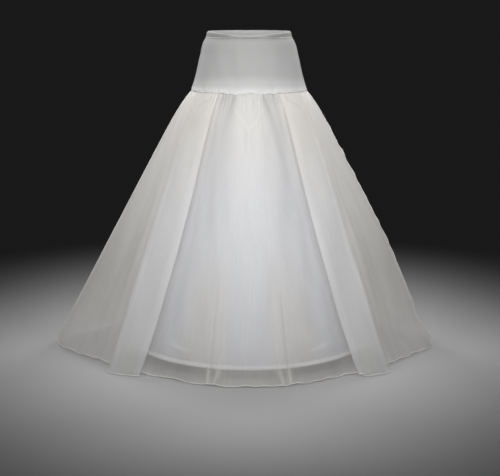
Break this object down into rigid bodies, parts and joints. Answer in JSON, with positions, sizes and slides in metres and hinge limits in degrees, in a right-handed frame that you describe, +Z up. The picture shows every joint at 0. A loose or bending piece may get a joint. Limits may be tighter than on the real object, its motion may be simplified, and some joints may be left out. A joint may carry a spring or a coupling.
{
  "type": "hoop petticoat",
  "caption": "A-line underskirt: stretch hip yoke on an elastic waistband, lining held out by a hoop at its hem, and a sheer overlay with knife pleats and wide side wings.",
  "frame": {"origin": "middle of the waist opening, level with the top rim of the waistband", "axes": "+Z up along the body, out of the waist; -Y to the front; +X to the wearer's left, across the wide hem"},
  "size_m": [1.2, 0.84, 0.97],
  "materials": {
    "knit": "smooth white stretch knit with a soft sheen",
    "elastic": "woven white elastic",
    "lining": "closely woven white lining with a slight sheen",
    "tape": "white twill tape",
    "boning": "white coated flat hoop",
    "sleeve": "milky plastic sleeve",
    "organza": "sheer white organza, denser where it lies in layers"
  },
  "bodies": {
    "root": {"waistband": "knit", "waist_elastic": "elastic", "yoke_front": "knit", "yoke_back": "knit", "lining_front": "lining", "lining_back": "lining", "hoop_casing": "tape", "hoop": "boning", "hoop_joiner": "sleeve", "overlay_front": "organza", "overlay_back": "organza"}
  },
  "joints": []
}
